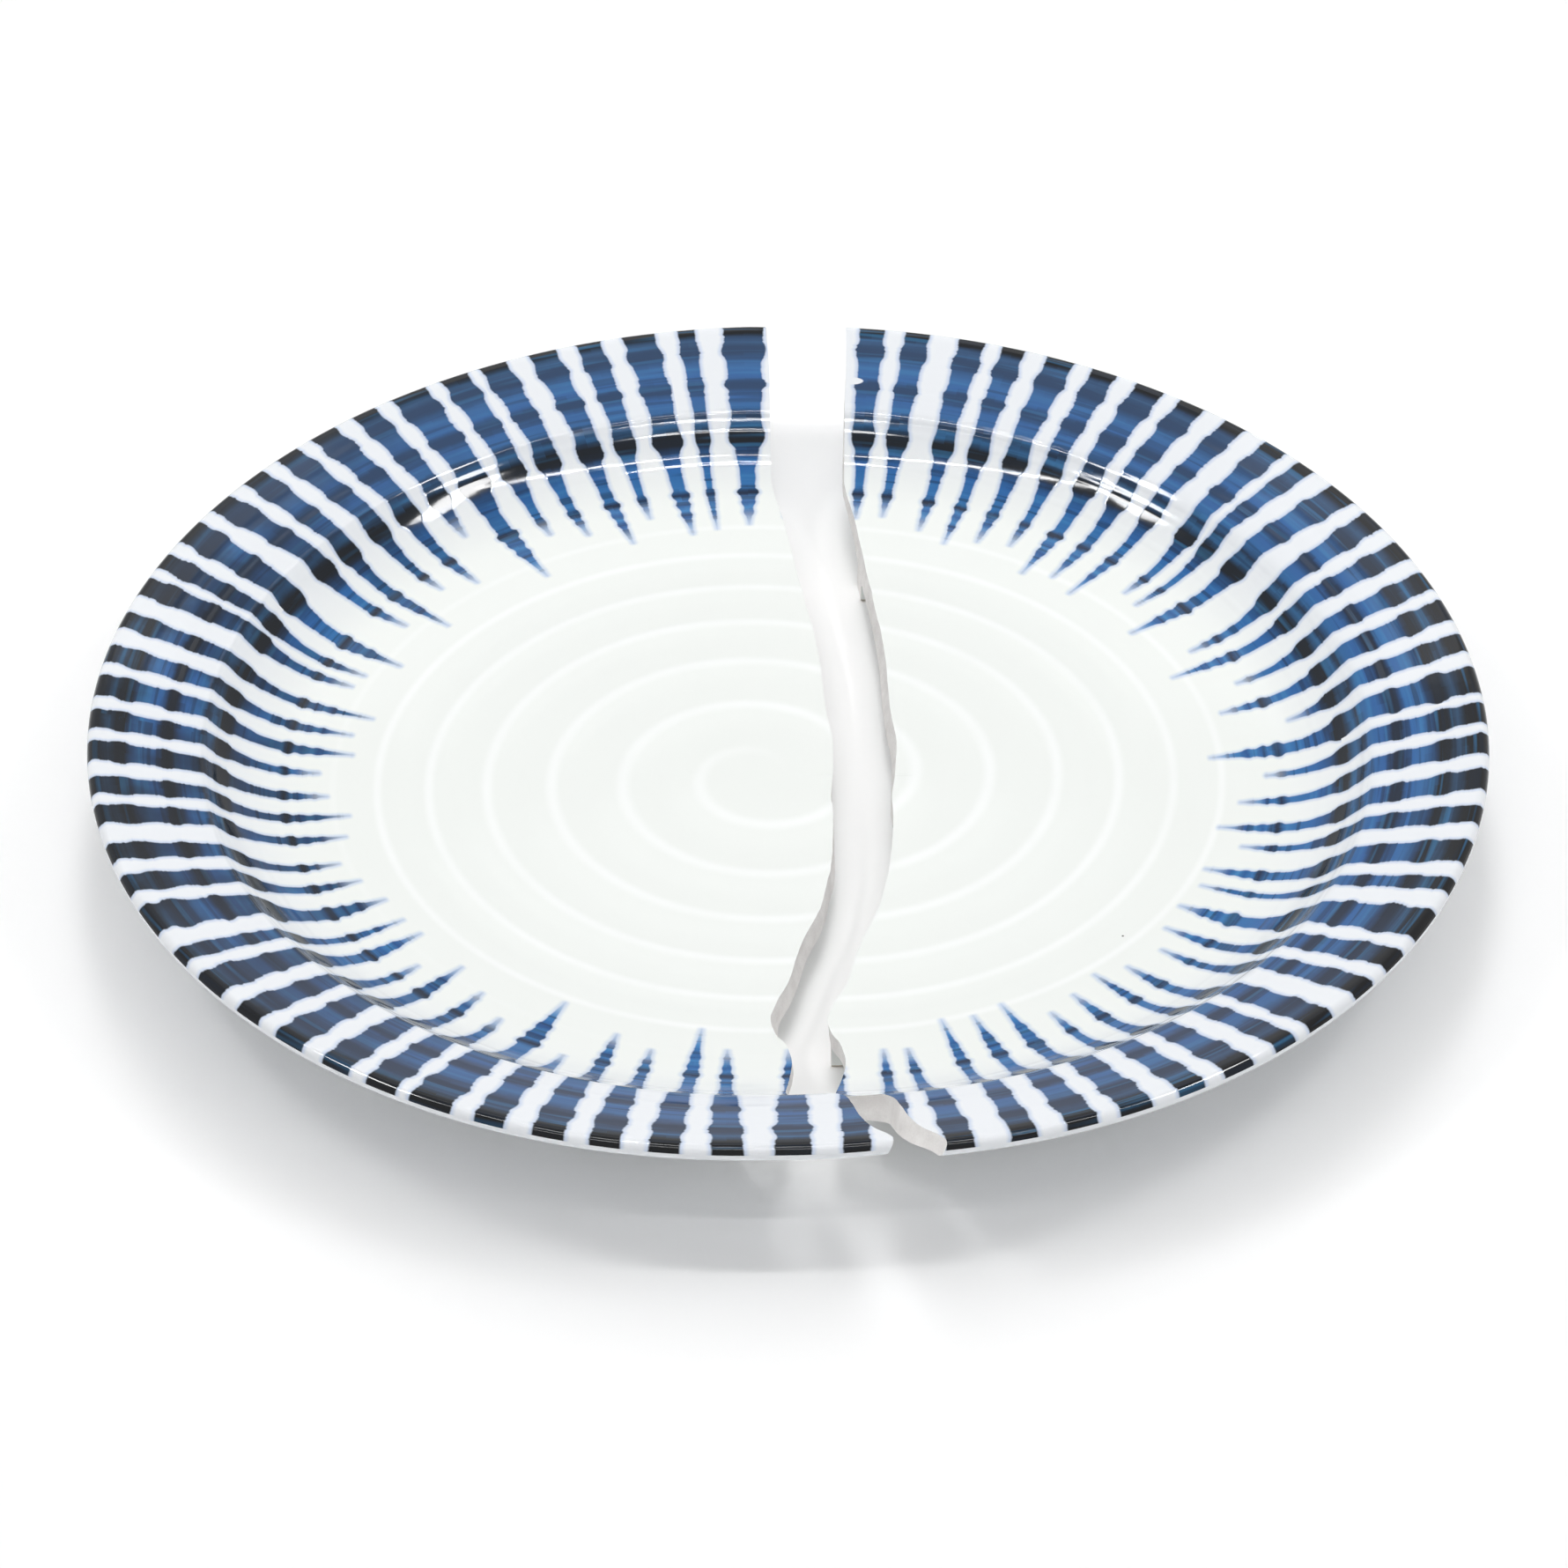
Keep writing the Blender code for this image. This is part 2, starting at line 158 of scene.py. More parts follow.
# %% Strokes: angle near the rim, angle at the well, width in degrees, and tip in millimetres
STROKES = (
    (4.9, 4.3, 4.2, 70.5), (10.2, 9.3, 2.9, 86.0), (15.0, 13.9, 3.3, 75.0),
    (19.5, 18.9, 3.0, 80.5), (24.4, 24.0, 3.0, 70.5), (29.3, 28.0, 3.1, 77.0),
    (34.3, 35.6, 3.6, 71.0), (39.4, 40.3, 2.3, 77.0), (43.3, 43.4, 2.9, 78.0),
    (48.3, 49.1, 2.6, 71.0), (53.2, 53.6, 3.0, 73.0), (57.8, 58.0, 3.2, 71.0),
    (62.6, 62.6, 2.8, 77.0), (67.1, 67.2, 3.1, 75.5), (71.8, 71.7, 2.6, 73.0),
    (75.9, 76.0, 2.8, 75.5), (81.2, 81.6, 2.7, 78.0), (85.5, 85.4, 2.8, 77.0),
    (90.7, 90.6, 4.4, 75.0), (96.1, 95.5, 1.9, 74.0), (100.6, 99.4, 3.6, 73.0),
    (105.5, 104.5, 2.7, 79.0), (110.0, 108.6, 3.1, 73.0), (115.0, 113.8, 3.1, 78.0),
    (119.1, 118.4, 3.2, 81.0), (124.0, 123.4, 4.2, 71.0), (129.0, 128.2, 2.9, 88.0),
    (133.8, 132.6, 3.2, 77.0), (138.3, 137.1, 3.0, 80.0), (142.9, 142.4, 3.0, 72.0),
    (147.6, 146.3, 3.2, 78.0), (152.8, 153.7, 3.9, 72.5), (157.6, 158.2, 2.6, 77.0),
    (161.5, 161.2, 3.0, 78.0), (166.6, 166.8, 2.6, 71.5), (171.5, 171.3, 2.8, 74.0),
    (176.0, 175.7, 3.3, 73.0), (180.7, 180.2, 3.0, 78.5), (185.2, 185.0, 3.1, 77.0),
    (190.0, 189.4, 2.7, 73.5), (194.1, 193.8, 2.9, 75.0), (199.4, 199.2, 2.6, 78.0),
    (203.9, 203.4, 2.8, 76.0), (208.9, 208.4, 4.3, 74.0), (214.4, 213.5, 2.1, 74.0),
    (218.7, 217.4, 3.5, 73.5), (223.7, 222.4, 2.9, 79.5), (228.4, 226.6, 3.3, 74.0),
    (233.4, 232.0, 3.1, 77.0), (237.9, 236.8, 3.2, 81.0), (242.5, 242.0, 4.1, 71.0),
    (247.6, 246.6, 2.8, 85.0), (252.5, 251.2, 3.0, 75.5), (257.1, 256.1, 2.8, 78.0),
    (261.9, 261.6, 2.8, 70.5), (266.7, 265.6, 2.9, 76.0), (272.1, 272.9, 3.2, 76.0),
    (277.2, 278.6, 2.4, 76.5), (281.8, 281.9, 2.6, 77.0), (287.0, 287.6, 2.4, 70.5),
    (291.8, 292.1, 3.0, 71.5), (296.5, 296.7, 3.2, 70.5), (301.5, 301.5, 2.8, 77.0),
    (306.1, 306.0, 3.1, 75.0), (311.0, 310.9, 2.5, 73.0), (315.1, 315.1, 3.1, 75.5),
    (320.6, 320.6, 2.7, 77.0), (325.1, 324.8, 3.0, 74.0), (330.4, 330.0, 4.6, 73.0),
    (336.1, 335.3, 2.1, 74.0), (340.8, 339.2, 3.5, 73.0), (346.0, 344.7, 2.7, 77.5),
    (350.8, 348.8, 3.2, 72.5), (355.8, 354.2, 3.1, 75.5), (360.2, 359.4, 3.2, 80.0),
)
STROKE_RADII = (0.115, 0.084)
COLUMNS_PER_STROKE = 5
strokes = np.array(STROKES)
middles = strokes[:, 0]
before_first = middles[-1] - 360
seams = (np.append(before_first, middles[:-1]) + middles) / 2
seams = np.append(seams, seams[0] + 360)
print(len(STROKES), "strokes, mean spacing", round(360 / len(STROKES), 2), "degrees")

# %% [markdown]
# ## Turned body
# A Screw modifier could turn the section too, but it turns in equal steps. A small Geometry Nodes
# tree takes two guides instead, the section and a ring of directions, and lays a grid over them:
# each grid point reads its radius and height from one guide and its direction from the other.

# %% One helper for all node trees
class Value:
    """A socket that can be added, multiplied and compared like a number."""

    def __init__(self, tree, socket):
        self.tree, self.socket = tree, socket

    def math(self, operation, *others):
        return calculate(self.tree, operation, self, *others)

    def __add__(self, other):
        return self.math("ADD", other)

    def __radd__(self, other):
        return self.math("ADD", other)

    def __sub__(self, other):
        return self.math("SUBTRACT", other)

    def __rsub__(self, other):
        return calculate(self.tree, "SUBTRACT", other, self)

    def __mul__(self, other):
        return self.math("MULTIPLY", other)

    def __rmul__(self, other):
        return self.math("MULTIPLY", other)

    def __truediv__(self, other):
        return self.math("DIVIDE", other)

    def __rtruediv__(self, other):
        return calculate(self.tree, "DIVIDE", other, self)

    def __neg__(self):
        return self * -1

    def step(self, low, high, start=0.0, end=1.0):
        """Goes smoothly from start to end as this value goes from low to high."""
        settings = {"interpolation_type": "SMOOTHSTEP"}
        sockets = {0: self, 1: low, 2: high, 3: start, 4: end}
        return add_node(self.tree, "ShaderNodeMapRange", settings, sockets)


def add_node(tree, kind, settings=None, sockets=None, out=0):
    node = tree.nodes.new(kind)
    for name, setting in (settings or {}).items():
        if name == "stops":
            set_stops(node, setting)
        elif name == "points":
            set_points(node, setting)
        else:
            setattr(node, name, setting)
    for name, value in (sockets or {}).items():
        if isinstance(value, Value):
            tree.links.new(value.socket, node.inputs[name])
        else:
            node.inputs[name].default_value = value
    return Value(tree, node.outputs[out]) if node.outputs else node


def calculate(tree, operation, *values):
    return add_node(tree, "ShaderNodeMath", {"operation": operation}, dict(enumerate(values)))


def split(tree, vector):
    return [add_node(tree, "ShaderNodeSeparateXYZ", None, {0: vector}, out=axis) for axis in range(3)]


def join(tree, x, y, z):
    return add_node(tree, "ShaderNodeCombineXYZ", None, {0: x, 1: y, 2: z})


def set_stops(node, stops):
    ramp = node.color_ramp
    while len(ramp.elements) > 1:
        ramp.elements.remove(ramp.elements[-1])
    for index, (place, colour) in enumerate(stops):
        element = ramp.elements[0] if index == 0 else ramp.elements.new(place)
        element.position = place
        element.color = (*colour, 1.0)


def set_points(node, points):
    curve = node.mapping.curves[0]
    for index, (place, height) in enumerate(points):
        if index < 2:
            curve.points[index].location = (place, height)
        else:
            curve.points.new(place, height)
    node.mapping.update()


# %% Tree that turns a section
MERGE_DISTANCE = 0.000004
TURNING_INPUTS = {
    "Section": "Object", "Directions": "Object", "Glaze": "Material",
    "Section points": "Int", "Direction points": "Int",
}


def guide_point(tree, guide, share, count):
    """Radius and height, or direction, of the guide's point at this share of its length."""
    shape = add_node(tree, "GeometryNodeObjectInfo", None, {0: guide}, out=4)
    place = add_node(tree, "GeometryNodeInputPosition")
    index = ((share + 0.5) * (count - 1.0)).math("ROUND")
    read = {"Geometry": shape, "Value": place, "Index": index}
    sampled = add_node(tree, "GeometryNodeSampleIndex", {"data_type": "FLOAT_VECTOR"}, read)
    return split(tree, sampled)


def turning_tree():
    tree = bpy.data.node_groups.new("turn_on_the_wheel", "GeometryNodeTree")
    for name, kind in TURNING_INPUTS.items():
        tree.interface.new_socket(name, in_out="INPUT", socket_type="NodeSocket" + kind)
    tree.interface.new_socket("Body", in_out="OUTPUT", socket_type="NodeSocketGeometry")
    given = {name: add_node(tree, "NodeGroupInput", out=index) for index, name in enumerate(TURNING_INPUTS)}
    rings, columns = given["Section points"], given["Direction points"]
    grid = add_node(tree, "GeometryNodeMeshGrid", None, {0: 1.0, 1: 1.0, 2: columns, 3: rings})
    across, along, _ = split(tree, add_node(tree, "GeometryNodeInputPosition"))
    radius, _, height = guide_point(tree, given["Section"], along, rings)
    east, north, _ = guide_point(tree, given["Directions"], across, columns)
    place = join(tree, east * radius, north * radius, height)
    steps = (
        ("GeometryNodeSetPosition", {"Position": place}),
        ("GeometryNodeMergeByDistance", {"Distance": MERGE_DISTANCE}),
        ("GeometryNodeSetShadeSmooth", {}),
        ("GeometryNodeRealizeInstances", {}),
        ("GeometryNodeSetMaterial", {"Material": given["Glaze"]}),
    )
    body = grid
    for kind, sockets in steps:
        body = add_node(tree, kind, None, {"Geometry": body, **sockets})
    add_node(tree, "NodeGroupOutput", None, {0: body})
    return tree


def guide(name, points):
    mesh = bpy.data.meshes.new(name)
    mesh.from_pydata(points, [(i, i + 1) for i in range(len(points) - 1)], [])
    thing = bpy.data.objects.new(name, mesh)
    bpy.context.scene.collection.objects.link(thing)
    return thing


def directions():
    steps = [step / COLUMNS_PER_STROKE for step in range(COLUMNS_PER_STROKE)]
    angles = [start + (end - start) * step for start, end in zip(seams, seams[1:]) for step in steps]
    turns = [math.radians(angle) for angle in (*angles, seams[-1])]
    return [(math.cos(turn), math.sin(turn), 0.0) for turn in turns]


# %% Turn the body
glaze = bpy.data.materials.new("glazed_porcelain")
bare_foot = bpy.data.materials.new("bare_foot")
broken_face = bpy.data.materials.new("broken_porcelain")


def turned_body():
    tree = turning_tree()
    wheel = guide("wheel", [(0, 0, 0)])
    section = guide("section", [(radius, 0.0, height) for radius, height in SECTION])
    ring = guide("ring", directions())
    turn = wheel.modifiers.new("turn", "NODES")
    turn.node_group = tree
    values = (section, ring, glaze, len(SECTION), len(ring.data.vertices))
    inputs = [item.identifier for item in tree.interface.items_tree if item.in_out == "INPUT"]
    for identifier, value in zip(inputs, values):
        turn[identifier] = value
    body = bpy.data.meshes.new_from_object(wheel.evaluated_get(bpy.context.evaluated_depsgraph_get()))
    wheel.modifiers.remove(turn)
    for thing in (wheel, section, ring):
        bpy.data.objects.remove(thing)
    return body


body = turned_body()
print("turned body of", len(body.vertices), "points")

# %% [markdown]
# ## Spiral and sunken rim
# The finger leaves a groove that winds outwards, and between two turns of it stands a soft crest.
# The relief is reckoned for each point from its radius and direction: how many turns lie inside
# it, and how far it is from one crest to the next. The rim also sank a little in the kiln.

# %% Relief of the well and rim
SPIRAL_START, SPIRAL_PITCH, SPIRAL_TIGHTENING = 0.0029, 0.0153, 0.0006
SPIRAL_FIRST_TURN, SPIRAL_LAST_TURN, SPIRAL_FADE_TURNS = 0.25, 5.5, 0.6
SPIRAL_DEPTH, GROOVE_POWER = 0.00032, 2.4
LEFT_DROOP, RIGHT_DROOP = 0.0021, 0.0025


def crest_radius(turn):
    return SPIRAL_START + SPIRAL_PITCH * turn - SPIRAL_TIGHTENING * turn ** 2


def spiral_relief(x, y):
    radius = math.hypot(x, y)
    turn = math.atan2(y, x) % math.tau / math.tau
    while crest_radius(turn + 1) <= radius and turn < SPIRAL_LAST_TURN + 1:
        turn += 1
    share = (radius - crest_radius(turn)) / (crest_radius(turn + 1) - crest_radius(turn))
    if share < 0 or share > 1:
        return 0.0
    groove = SPIRAL_DEPTH * (1 - abs(2 * share - 1) ** GROOVE_POWER)
    begun = ease((turn + share - SPIRAL_FIRST_TURN) / SPIRAL_FADE_TURNS)
    return -groove * begun * ease((SPIRAL_LAST_TURN - turn - share) / SPIRAL_FADE_TURNS)


def shape_by_hand(mesh):
    for vertex in mesh.vertices:
        x, y, z = vertex.co
        radius = math.hypot(x, y)
        droop = RIGHT_DROOP if x > 0 else LEFT_DROOP
        share = ease((radius - FOOT_RADIUS - FOOT_FILLET) / (RIM_RADIUS - FOOT_RADIUS - FOOT_FILLET))
        vertex.co.z = z - droop * share * abs(x) / RIM_RADIUS
        if radius < WELL_RADIUS and z > FOOT_HEIGHT + WELL_THICKNESS / 2:
            vertex.co.z += spiral_relief(x, y)


shape_by_hand(body)
print("crests cross the X axis at", [round(crest_radius(turn) * MM, 1) for turn in range(6)], "mm")

# %% [markdown]
# ## Break
# Porcelain breaks like glass, in one sweep, and the two faces would fit together but for the
# grains lost between them. The break's line is a smooth curve through a few points; its face
# leans a little one way and the other and is covered in a fine grain. Each half is the body less
# a solid that fills the other side of that face, so both halves come from the same break.

# %% Line of the break: place in shares of the rim's radius, lean and loss in metres
BREAK_LINE = (
    (0.028, 1.050, 0.0000, 0.0012), (0.030, 0.975, 0.0000, 0.0010), (0.032, 0.895, 0.0000, 0.0006),
    (0.032, 0.745, -0.0002, 0.0004), (0.035, 0.710, -0.0003, 0.0004), (0.052, 0.627, -0.0003, 0.0004),
    (0.075, 0.480, -0.0006, 0.0004), (0.094, 0.357, -0.0009, 0.0004), (0.101, 0.282, -0.0011, 0.0004),
    (0.107, 0.176, -0.0011, 0.0004), (0.117, 0.083, -0.0010, 0.0005), (0.115, 0.002, -0.0007, 0.0004),
    (0.110, -0.052, -0.0002, 0.0004), (0.112, -0.107, 0.0002, 0.0004), (0.107, -0.215, 0.0005, 0.0004),
    (0.100, -0.249, 0.0006, 0.0005), (0.086, -0.322, 0.0007, 0.0006), (0.064, -0.384, 0.0008, 0.0009),
    (0.043, -0.475, 0.0007, 0.0012), (0.028, -0.516, 0.0006, 0.0012), (0.015, -0.560, 0.0005, 0.0012),
    (0.021, -0.598, 0.0003, 0.0012), (0.035, -0.625, 0.0002, 0.0010), (0.043, -0.668, 0.0000, 0.0010),
    (0.038, -0.711, 0.0000, 0.0008), (0.032, -0.775, 0.0002, 0.0006), (0.050, -0.808, 0.0003, 0.0004),
    (0.104, -0.830, -0.0004, 0.0004), (0.120, -0.860, -0.0010, 0.0006), (0.132, -0.902, -0.0018, 0.0010),
    (0.148, -0.935, -0.0022, 0.0012), (0.173, -0.963, -0.0022, 0.0014), (0.182, -0.988, -0.0018, 0.0020),
    (0.187, -1.050, -0.0018, 0.0022),
)
BREAK_RADIUS = 0.12
BREAK_LEAN_REACH, BREAK_BOW, BREAK_BOW_WAVES = 1.3, 0.0003, 9
BREAK_STEPS, FACING_REACH = 9, 3


def upper_height(radius):
    for inner, outer in zip(UPPER, UPPER[1:]):
        if radius <= outer[0]:
            return inner[1] + (outer[1] - inner[1]) * (radius - inner[0]) / (outer[0] - inner[0])
    return UPPER[-1][1]


def curve_point(points, index, share):
    last = len(points) - 1
    start, end = points[index], points[min(index + 1, last)]
    tangent_in = (end - points[max(index - 1, 0)]) / 2
    tangent_out = (points[min(index + 2, last)] - start) / 2
    bend = 3 * (end - start) - 2 * tangent_in - tangent_out
    turn = 2 * (start - end) + tangent_in + tangent_out
    return start + tangent_in * share + bend * share ** 2 + turn * share ** 3


def break_stations():
    line = [Vector((x * BREAK_RADIUS, y * BREAK_RADIUS, lean, loss)) for x, y, lean, loss in BREAK_LINE]
    smooth = []
    for index in range(len(line) - 1):
        smooth += [curve_point(line, index, step / BREAK_STEPS) for step in range(BREAK_STEPS)]
    smooth.append(line[-1])
    stations = []
    for index, point in enumerate(smooth):
        ahead = smooth[min(index + FACING_REACH, len(smooth) - 1)] - smooth[max(index - FACING_REACH, 0)]
        facing = Vector((-ahead.y, ahead.x)).normalized()
        bow = BREAK_BOW * math.sin(math.tau * BREAK_BOW_WAVES * index / len(smooth))
        stations.append((point.xy, facing, point.z, point.w, bow))
    return stations


print("break of", len(break_stations()), "stations")


# %% Solids that fill one side of the break
OVERRUN = 0.010
FACE_LEVELS, FACE_REACH, FACE_START = 12, 1.6, 0.001
GRAIN_DEPTH, GRAIN_SCALE = 0.00007, 900
SWELL_SHARE, SWELL_SCALE = 1.6, 160


def break_levels(station, side):
    point, facing, lean, loss, bow = station
    point = point - facing * side * loss / 2
    surface = upper_height(point.length)
    depths = [surface - RIM_HEIGHT - OVERRUN]
    reach = WELL_THICKNESS * FACE_REACH
    depths += [reach * level / FACE_LEVELS - FACE_START for level in range(FACE_LEVELS + 1)]
    depths.append(surface + OVERRUN)
    levels = []
    for depth in depths:
        share = depth / WELL_THICKNESS
        bulge = bow * max(0.0, 1 - abs(2 * share - 1))
        place = Vector((*point, surface - depth))
        grain = noise.fractal(place * GRAIN_SCALE, 0.8, 2.1, 4) * GRAIN_DEPTH
        grain += noise.noise(place * SWELL_SCALE) * GRAIN_DEPTH * SWELL_SHARE
        shift = lean * min(max(share, 0.0), BREAK_LEAN_REACH) + bulge + grain
        levels.append(place + facing.to_3d() * shift)
    return levels


def break_solid(side):
    columns = [break_levels(station, side) for station in break_stations()]
    wide = side * (RIM_RADIUS + OVERRUN)
    for y in (columns[-1][0].y, columns[0][0].y):
        columns.append([Vector((wide, y, level.z)) for level in columns[0]])
    mesh = bmesh.new()
    corners = [[mesh.verts.new(level) for level in column] for column in columns]
    for column, following in zip(corners, corners[1:] + corners[:1]):
        for level in range(len(column) - 1):
            mesh.faces.new((column[level], column[level + 1], following[level + 1], following[level]))
    mesh.faces.new([column[0] for column in corners])
    mesh.faces.new([column[-1] for column in reversed(corners)])
    bmesh.ops.triangulate(mesh, faces=mesh.faces)
    bmesh.ops.recalc_face_normals(mesh, faces=mesh.faces)
    data = bpy.data.meshes.new("far_side_of_break")
    mesh.to_mesh(data)
    mesh.free()
    data.materials.append(broken_face)
    solid = bpy.data.objects.new("far_side_of_break", data)
    bpy.context.scene.collection.objects.link(solid)
    return solid


# %% Part the halves
def half_plate(name, side):
    half = bpy.data.objects.new(name, body)
    bpy.context.scene.collection.objects.link(half)
    beyond = break_solid(-side)
    cut = half.modifiers.new("break", "BOOLEAN")
    cut.operation, cut.object, cut.material_mode = "DIFFERENCE", beyond, "TRANSFER"
    mesh = bpy.data.meshes.new_from_object(half.evaluated_get(bpy.context.evaluated_depsgraph_get()))
    half.modifiers.remove(cut)
    half.data = mesh
    mesh.name = name
    bpy.data.objects.remove(beyond)
    return half


halves = {-1: half_plate("left_half", -1), 1: half_plate("right_half", 1)}
for half in halves.values():
    kinds = [material.name if material else "none" for material in half.data.materials]
    used = [face.material_index for face in half.data.polygons]
    counts = {kind: used.count(index) for index, kind in enumerate(kinds)}
    print(half.name, "faces by finish:", counts)

# %% [markdown]
# ## Where the paint goes
# The paint follows the plate, not the place where a half now lies, so each point keeps its place
# on the unbroken plate. Each corner of a face also keeps how far it is from the middle of its
# stroke, in degrees, with the stroke's width and the radius of its tip.

# %% Reading many values at once
def read_all(data, name, width, kind=np.float32):
    values = np.empty(len(data) * width, dtype=kind)
    data.foreach_get(name, values)
    return values.reshape(-1, width) if width > 1 else values


def polar(places):
    return np.hypot(places[:, 0], places[:, 1]), np.degrees(np.arctan2(places[:, 1], places[:, 0]))


def middle_lines(radius):
    """The angle of every stroke's middle line at each of the given radii."""
    table = strokes.astype(np.float32)
    share = (radius[:, None] - STROKE_RADII[1]) / (STROKE_RADII[0] - STROKE_RADII[1])
    return table[:, 1] + (table[:, 0] - table[:, 1]) * share


def turned_back(angle):
    return (angle + 180) % 360 - 180


# %% Places and strokes kept on the mesh
FACING_UP, PAINT_MARGIN, NO_PAINT = 0.3, 0.001, -9.0


def keep_places(half):
    mesh = half.data
    places = read_all(mesh.vertices, "co", 3)
    mesh.attributes.new("on_plate", "FLOAT_VECTOR", "POINT").data.foreach_set("vector", places.ravel())
    corners = read_all(mesh.loops, "vertex_index", 1, np.int32)
    sizes = read_all(mesh.polygons, "loop_total", 1, np.int32)
    centres = read_all(mesh.polygons, "center", 3)
    radius, angle = polar(centres)
    nearest = np.abs(turned_back(angle[:, None] - middle_lines(radius))).argmin(1)
    stroke = np.repeat(nearest, sizes)
    radius, angle = polar(places[corners])
    offset = turned_back(angle - middle_lines(radius)[np.arange(len(stroke)), stroke])
    facing = read_all(mesh.polygons, "normal", 3)[:, 2] > FACING_UP
    on_top = np.repeat(facing & (centres[:, 2] > WELL_FLOOR - PAINT_MARGIN), sizes)
    width = np.where(on_top, strokes[stroke, 2], NO_PAINT)
    values = np.stack([offset, width, strokes[stroke, 3] / MM], 1)
    mesh.attributes.new("stroke", "FLOAT_VECTOR", "CORNER").data.foreach_set("vector", values.ravel())


for half in halves.values():
    keep_places(half)
    print(half.name, "keeps places for", len(half.data.loops), "corners")

# %% [markdown]
# ## Faces, edges and places of the halves
# The tread of the foot was wiped clean before firing, so it is bare. A break has a hard edge, so
# the edges between glaze and broken face are marked sharp, while the rest stays smooth. Then each
# half is turned a little and drawn aside, with its place kept in its mesh.

# %% Bare tread, sharp break and resting places
HALVES_APART = 0.0108
HALF_TURN = math.radians(0.95)
TREAD_HEIGHT = FOOT_ROUND * 0.6
FINISHES = (glaze, broken_face, bare_foot)
GLAZED, BROKEN, BARE = range(3)


def finish_mesh(half, side):
    broken = half.data.materials.find(broken_face.name)
    shape = bmesh.new()
    shape.from_mesh(half.data)
    bmesh.ops.triangulate(shape, faces=[face for face in shape.faces if len(face.verts) > 4])
    half.data.materials.clear()
    for material in FINISHES:
        half.data.materials.append(material)
    for face in shape.faces:
        unbroken = BARE if face.calc_center_median().z < TREAD_HEIGHT else GLAZED
        face.material_index = BROKEN if face.material_index == broken else unbroken
        face.smooth = True
    for edge in shape.edges:
        kinds = {face.material_index == BROKEN for face in edge.link_faces}
        edge.smooth = len(kinds) == 1
    aside = Matrix.Translation((side * HALVES_APART / 2, 0, 0))
    shape.transform(aside @ Matrix.Rotation(-side * HALF_TURN, 4, "Z"))
    shape.to_mesh(half.data)
    shape.free()


for side, half in halves.items():
    finish_mesh(half, side)
    low = [min(vertex.co[axis] for vertex in half.data.vertices) for axis in range(3)]
    high = [max(vertex.co[axis] for vertex in half.data.vertices) for axis in range(3)]
    print(half.name, "from", [round(v, 5) for v in low], "to", [round(v, 5) for v in high])

# %% [markdown]
# ## Glaze over brushwork
# The brush was loaded with cobalt and swept inwards. Where it crossed the rings of the wheel the
# pigment gathered, so each stroke is a chain of dark knots with a paler, narrower band between
# them, and fine rings run across it. The knots lie on the same circles all the way round, so the
# width and the colour are read from the radius, and each stroke then adds its own width and tip.

# %% Colours, mixtures and noises
def tint(text):
    values = [int(text[index:index + 2], 16) / 255 for index in (0, 2, 4)]
    return tuple(v / 12.92 if v <= 0.04045 else ((v + 0.055) / 1.055) ** 2.4 for v in values)


def blend(tree, factor, first, second):
    """Mixes two colours, each a socket or a colour written as it looks."""
    first, second = [c if isinstance(c, Value) else (*tint(c), 1.0) for c in (first, second)]
    return add_node(tree, "ShaderNodeMix", {"data_type": "RGBA"}, {0: factor, 6: first, 7: second}, out=2)


def mottle(tree, place, scale, detail=2.0, roughness=0.5):
    sockets = {"Vector": place, "Scale": scale, "Detail": detail, "Roughness": roughness}
    return add_node(tree, "ShaderNodeTexNoise", None, sockets)


# %% Starting and ending a material
def fresh_tree(material):
    material.use_nodes = True
    material.node_tree.nodes.clear()
    return material.node_tree


def read_attribute(tree, name):
    return add_node(tree, "ShaderNodeAttribute", {"attribute_name": name}, out=1)


def relief(tree, height, strength, distance):
    sockets = {"Strength": strength, "Distance": distance, "Height": height}
    return add_node(tree, "ShaderNodeBump", None, sockets)


def shade(tree, sockets):
    shader = add_node(tree, "ShaderNodeBsdfPrincipled", None, sockets)
    add_node(tree, "ShaderNodeOutputMaterial", None, {"Surface": shader})


# %% Width and colour of the strokes, by millimetres from the middle of the plate
STROKE_WIDTHS = (
    (66, 1.05), (77.8, 0.92), (79.2, 1.28), (80.6, 0.92), (82, 1.16), (83.2, 0.88), (84.6, 1.22),
    (86.2, 0.72), (88, 0.70), (90, 0.62), (91.6, 0.70), (93.4, 0.70), (95.6, 1.02), (97, 0.92),
    (98.4, 0.82), (99.6, 0.79), (101.5, 0.84), (103.6, 0.86), (105.2, 1.02), (106.8, 0.84), (108.8, 0.82),
    (111, 0.88), (112.8, 1.06), (114.4, 0.98), (115.8, 0.86), (117.2, 0.90), (120, 0.92),
)
WIDEST = 1.5
STROKE_TINTS = (
    (66, "5f9ac8"), (75, "3f80ba"), (77.4, "2c6cab"), (79.2, "1d4c88"), (80.6, "377cb6"),
    (82, "205490"), (83.2, "3171ae"), (84.6, "12284a"), (86.4, "2e6ba6"), (88.6, "2c67a2"),
    (91, "2760a0"), (93.4, "1e4878"), (94.8, "101923"), (96.4, "101923"), (97.8, "2c5d8a"),
    (98.8, "16263a"), (100, "2c6298"), (102.4, "2b5c98"), (104.2, "12233a"), (105.8, "12233a"),
    (107.2, "2c5f9c"), (109.4, "33669c"), (111.2, "1f4068"), (112.4, "11161c"), (114, "141b24"),
    (115.6, "2b4866"), (117.2, "13171c"), (120, "0a0b0e"),
)
PAINT_START, PAINT_END = 66, 120
print(len(STROKE_WIDTHS), "widths and", len(STROKE_TINTS), "colours along a stroke")


def radius_share(millimetres):
    return (millimetres - PAINT_START) / (PAINT_END - PAINT_START)


